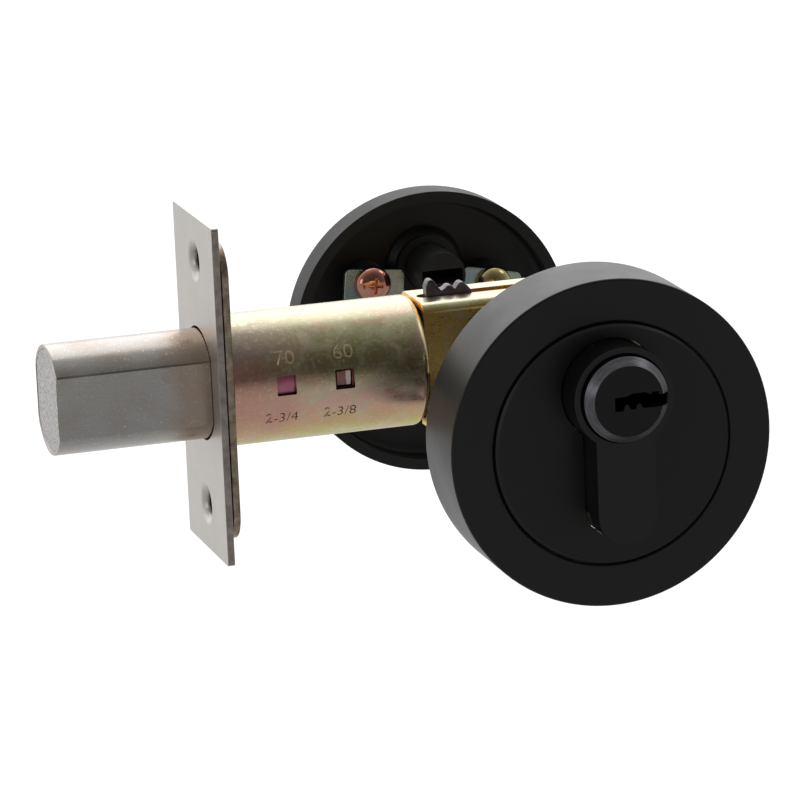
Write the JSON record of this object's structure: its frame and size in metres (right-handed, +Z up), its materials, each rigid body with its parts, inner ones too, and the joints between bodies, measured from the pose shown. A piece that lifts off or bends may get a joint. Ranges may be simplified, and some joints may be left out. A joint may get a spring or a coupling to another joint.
{
  "type": "deadbolt door lock",
  "caption": "Tubular deadbolt door lock with adjustable backset, round black roses, profile cylinder outside and thumb-turn inside.",
  "frame": {"origin": "where the turning axis crosses the bolt's axis, at the centre of the door's cross bore", "axes": "-X along the bolt towards the frame's strike, -Y towards the outside of the door, +Y towards the inside, +Z up"},
  "size_m": [0.1135, 0.1281, 0.0661],
  "materials": {
    "satin_steel": "satin, fine vertical brushing, slightly warm",
    "bolt_steel": "smooth drawn stainless skin, brownish smears near the faceplate",
    "sintered_core": "matt granular light grey end face",
    "yellow_zinc": "yellow passivated zinc, iridescent pink and green, fine scratches",
    "pink_zinc": "pinkish passivated zinc",
    "dark_zinc": "dark purple-grey plated steel, light worn edges",
    "white_zinc": "blue-white bright zinc",
    "copper_screw": "polished copper-coloured plating",
    "satin_black": "fine satin black coating",
    "bright_black": "black plated plug with a bright brushed chamfer",
    "brass": "turned brass",
    "spring_steel": "plain bright steel"
  },
  "bodies": {
    "root": {"outer_tube": "yellow_zinc", "bracket": "yellow_zinc", "detent_spring": "spring_steel", "outer_rose": "satin_black", "outer_disc": "satin_black", "cylinder_clamp": "spring_steel", "clamp_plate_screw_left": "spring_steel", "clamp_plate_screw_right": "spring_steel", "mounting_post_left": "spring_steel", "mounting_post_right": "spring_steel", "cylinder_body": "satin_black", "chamber_cover": "brass", "driver_pin_1": "spring_steel", "driver_pin_2": "spring_steel", "driver_pin_3": "spring_steel", "driver_pin_4": "spring_steel", "driver_pin_5": "spring_steel", "pin_spring_1": "spring_steel", "pin_spring_2": "spring_steel", "pin_spring_3": "spring_steel", "pin_spring_4": "spring_steel", "pin_spring_5": "spring_steel"},
    "faceplate_group": {"faceplate": "satin_steel", "backing_plate": "yellow_zinc", "inner_sleeve": "pink_zinc", "backset_catch": "pink_zinc"},
    "bolt": {"bolt_sleeve": "bolt_steel", "bolt_core": "sintered_core", "bolt_guard_pin": "spring_steel", "drawbar_front": "dark_zinc", "drawbar_rivet": "spring_steel", "link_pin": "spring_steel"},
    "drawbar": {"drawbar_rear": "dark_zinc"},
    "cam": {"cam": "dark_zinc", "cam_pin": "spring_steel", "tailpiece": "spring_steel"},
    "plug": {"cylinder_plug": "bright_black", "plug_clip": "spring_steel", "key_pin_1": "brass", "key_pin_2": "brass", "key_pin_3": "brass", "key_pin_4": "brass", "key_pin_5": "brass"},
    "inner_rose": {"inner_rose": "satin_black", "turn_bush": "satin_black", "clamp_tab_left": "white_zinc", "clamp_tab_right": "white_zinc", "clamp_screw_left": "copper_screw", "clamp_screw_right": "copper_screw"},
    "thumb_turn": {"turn_hub": "satin_black", "thumb_turn": "satin_black", "turn_screw": "spring_steel", "turn_clip": "spring_steel"}
  },
  "joints": [
    {"name": "thumb_turn_turn", "type": "hinge", "parent": "inner_rose", "child": "thumb_turn", "pos_m": [0, 0.0786, 0], "axis": [0, -1, 0], "range_deg": [0, 90]},
    {"name": "cam_turn", "type": "hinge", "parent": "root", "child": "cam", "pos_m": [0, 0, 0], "axis": [0, -1, 0], "range_deg": [0, 90]},
    {"name": "bolt_slide", "type": "slide", "parent": "faceplate_group", "child": "bolt", "axis": [1, 0, 0], "range_m": [0, 0.025]},
    {"name": "drawbar_slide", "type": "slide", "parent": "root", "child": "drawbar", "axis": [1, 0, 0], "range_m": [0, 0.025]},
    {"name": "plug_turn", "type": "hinge", "parent": "root", "child": "plug", "pos_m": [0, -0.03, 0], "axis": [0, -1, 0], "range_deg": [0, 90]},
    {"name": "backset_slide", "type": "slide", "parent": "root", "child": "faceplate_group", "axis": [-1, 0, 0], "range_m": [0, 0.01]},
    {"name": "inner_rose_slide", "type": "slide", "parent": "root", "child": "inner_rose", "axis": [0, -1, 0], "range_m": [0, 0.041]}
  ],
  "couplings": [
    {"joint": "thumb_turn_turn", "follows": "bolt_slide", "rad_per_m": 62.83},
    {"joint": "cam_turn", "follows": "bolt_slide", "rad_per_m": 62.83},
    {"joint": "drawbar_slide", "follows": "bolt_slide", "ratio": 1}
  ]
}
